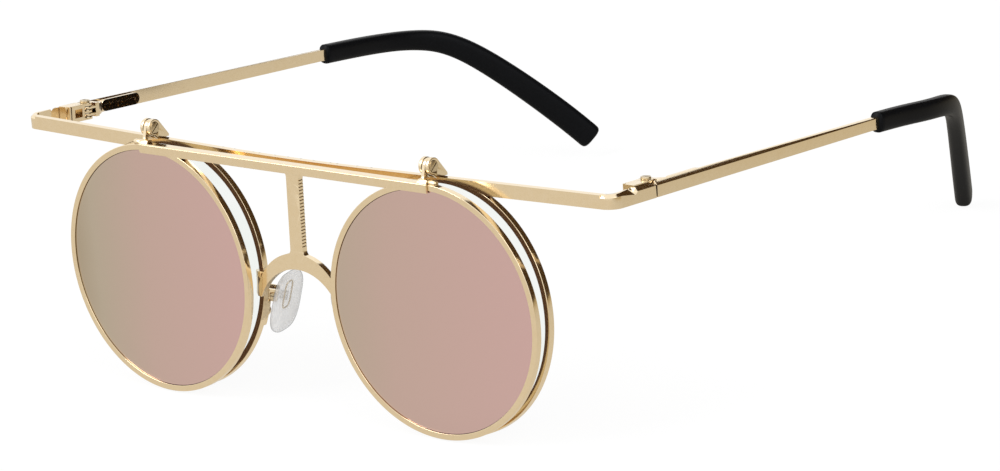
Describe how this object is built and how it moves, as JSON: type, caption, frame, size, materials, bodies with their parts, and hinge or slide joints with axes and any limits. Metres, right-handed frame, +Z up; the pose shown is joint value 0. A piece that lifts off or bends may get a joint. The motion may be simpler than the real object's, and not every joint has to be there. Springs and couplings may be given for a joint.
{
  "type": "flip up sunglasses",
  "caption": "Round metal sunglasses with a long straight brow bar, mirrored lenses that flip up over clear rear lenses, a tall bridge post, clear nose pads and folding temples with dark tips.",
  "frame": {"origin": "centre of the bounding box at its base: the plane under the rear rims and the ends of the temple tips", "axes": "+X along the brow bar to the right as seen from the front of the pair; +Y back along the temples; +Z up; the lenses face -Y"},
  "size_m": [0.1464, 0.1428, 0.052],
  "materials": {
    "gold": "polished light gold plating",
    "screw": "bright turned steel",
    "clear_lens": "clear polished lens",
    "mirror_lens": "rose mirrored lens",
    "clear_pad": "clear soft silicone",
    "tip": "black satin sleeve"
  },
  "bodies": {
    "frame": {"brow_bar": "gold", "bridge_plate": "gold", "rear_rim_left": "gold", "rear_rim_right": "gold", "rear_lens_left": "clear_lens", "rear_lens_right": "clear_lens", "flip_bracket_left": "gold", "flip_bracket_right": "gold", "flip_screw_left": "screw", "flip_screw_right": "screw", "pad_arm_left": "gold", "pad_arm_right": "gold", "pad_screw_left": "screw", "pad_screw_right": "screw", "frame_hinge_left": "gold", "frame_hinge_right": "gold", "hinge_screw_left": "screw", "hinge_screw_right": "screw"},
    "flip_front": {"front_bar": "gold", "front_rim_left": "gold", "front_rim_right": "gold", "front_lens_left": "mirror_lens", "front_lens_right": "mirror_lens", "flip_strap_left": "gold", "flip_strap_right": "gold", "rim_lock_left": "gold", "rim_lock_right": "gold", "rim_screw_left": "screw", "rim_screw_right": "screw"},
    "temple_left": {"temple_bar_left": "gold", "temple_hinge_left": "gold", "spring_housing_left": "gold", "temple_tip_left": "tip"},
    "temple_right": {"temple_bar_right": "gold", "temple_hinge_right": "gold", "spring_housing_right": "gold", "temple_tip_right": "tip"},
    "pad_left": {"nose_pad_left": "clear_pad"},
    "pad_right": {"nose_pad_right": "clear_pad"}
  },
  "joints": [
    {"name": "flip_hinge", "type": "hinge", "parent": "frame", "child": "flip_front", "pos_m": [0, -0.065, 0.05038], "axis": [-1, 0, 0], "range_deg": [0, 90]},
    {"name": "temple_fold_left", "type": "hinge", "parent": "frame", "child": "temple_left", "pos_m": [-0.07008, -0.04863, 0.0449], "axis": [0, -0.1325, -0.9912], "range_deg": [0, 83]},
    {"name": "temple_fold_right", "type": "hinge", "parent": "frame", "child": "temple_right", "pos_m": [0.07008, -0.04863, 0.0449], "axis": [0, 0.1325, 0.9912], "range_deg": [0, 75]},
    {"name": "pad_rock_left", "type": "hinge", "parent": "frame", "child": "pad_left", "pos_m": [-0.01179, -0.0629, 0.01976], "axis": [0.5785, -0.8003, -0.1575], "range_deg": [-8, 8]},
    {"name": "pad_rock_right", "type": "hinge", "parent": "frame", "child": "pad_right", "pos_m": [0.01179, -0.0629, 0.01976], "axis": [-0.5785, -0.8003, -0.1575], "range_deg": [-8, 8]}
  ]
}
